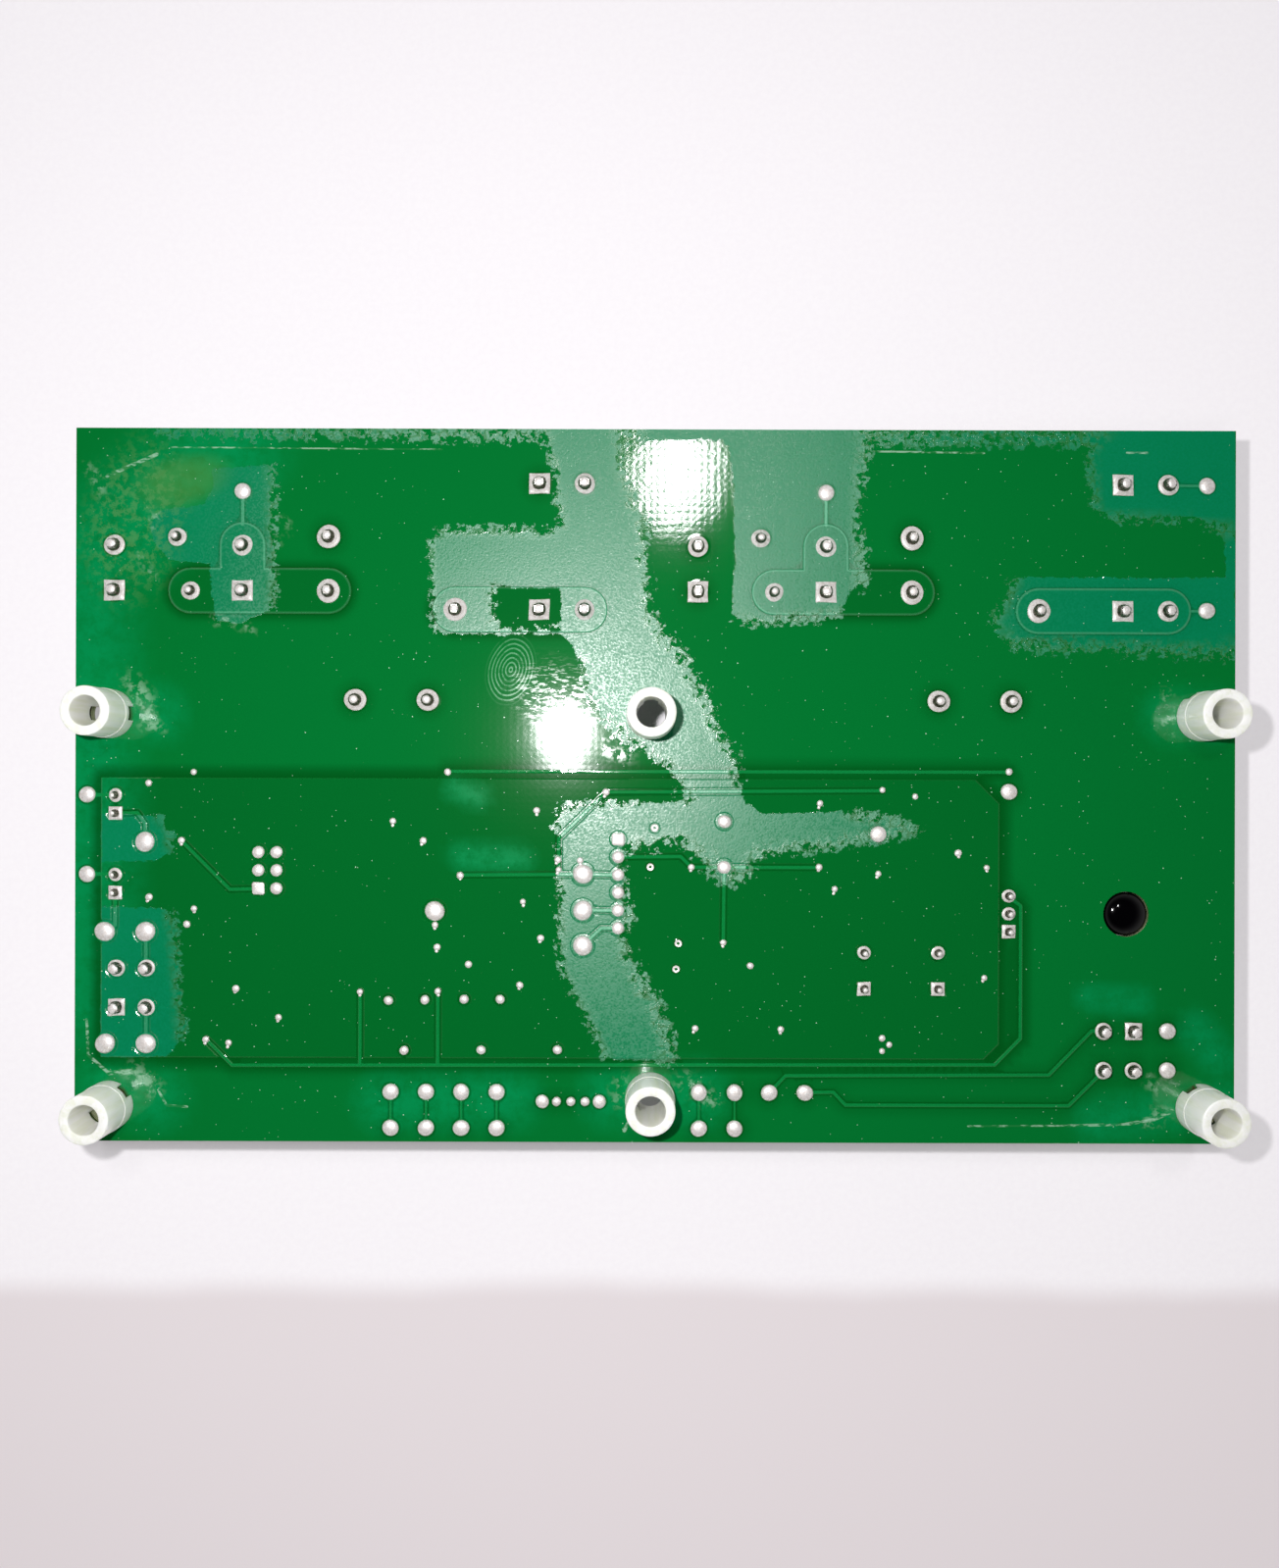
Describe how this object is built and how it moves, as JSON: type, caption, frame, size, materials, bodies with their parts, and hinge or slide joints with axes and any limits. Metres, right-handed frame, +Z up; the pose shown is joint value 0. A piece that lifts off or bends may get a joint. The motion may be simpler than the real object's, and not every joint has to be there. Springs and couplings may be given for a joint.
{
  "type": "control board",
  "caption": "Control board with two relay channels, lying solder side up on its parts, with tubular nylon standoffs snapped into it.",
  "frame": {"origin": "centre of the bounding box, at the bottom, where the board rests on its relay cases and capacitors", "axes": "+Z up, away from the solder side; +X along the board's long side; +Y towards the board's top edge"},
  "size_m": [0.1626, 0.1, 0.032],
  "materials": {
    "black_moulding": "black moulding",
    "bung_rubber": "black rubber",
    "can_aluminium": "drawn can",
    "chip_body": "chip resistor body",
    "chip_ceramic": "chip capacitor ceramic",
    "connector_nylon": "natural nylon",
    "crystal_steel": "plated can",
    "lamp_lens": "tinted lens",
    "relay_plastic": "black moulded case",
    "solder": "bright tin solder",
    "solder_mask": "glossy green solder mask with flux residue and fine scratches",
    "standoff_nylon": "milky natural nylon",
    "tinned_lead": "tinned metal",
    "varistor_coating": "blue dipped coating"
  },
  "bodies": {
    "root": {"block_header_solder": "solder", "capacitor_bungs": "bung_rubber", "capacitor_can_1": "can_aluminium", "capacitor_can_2": "can_aluminium", "capacitor_leads": "tinned_lead", "capacitor_solder": "solder", "chip_capacitors": "chip_ceramic", "chip_resistors": "chip_body", "circuit_board": "solder_mask", "connector_solder": "solder", "controller_body": "black_moulding", "controller_leads": "tinned_lead", "crystal": "crystal_steel", "diodes": "black_moulding", "lamp_leads": "tinned_lead", "lamp_solder": "solder", "large_test_pads": "solder", "left_blade_terminal_1": "tinned_lead", "left_blade_terminal_2": "tinned_lead", "left_blade_terminal_3": "tinned_lead", "left_blade_terminal_4": "tinned_lead", "left_relay_base": "relay_plastic", "left_relay_case": "relay_plastic", "left_relay_pins": "tinned_lead", "left_varistor_disc": "varistor_coating", "lower_lamp": "lamp_lens", "lower_left_connector_pins": "tinned_lead", "lower_left_connector_shroud": "connector_nylon", "lower_right_connector_pins": "tinned_lead", "lower_right_connector_shroud": "connector_nylon", "lower_standoffs": "standoff_nylon", "receiver_body": "black_moulding", "receiver_leads": "tinned_lead", "receiver_solder": "solder", "regulator_body": "black_moulding", "regulator_tab": "tinned_lead", "relay_driver_pins": "tinned_lead", "relay_drivers": "black_moulding", "relay_solder": "solder", "right_blade_terminal_1": "tinned_lead", "right_blade_terminal_2": "tinned_lead", "right_blade_terminal_3": "tinned_lead", "right_blade_terminal_4": "tinned_lead", "right_relay_base": "relay_plastic", "right_relay_case": "relay_plastic", "right_relay_pins": "tinned_lead", "right_varistor_disc": "varistor_coating", "row_header_solder": "solder", "small_test_pads": "solder", "terminal_solder": "solder", "test_pads": "solder", "upper_lamp": "lamp_lens", "upper_standoffs": "standoff_nylon", "varistor_leads": "tinned_lead", "varistor_solder": "solder"}
  },
  "joints": []
}
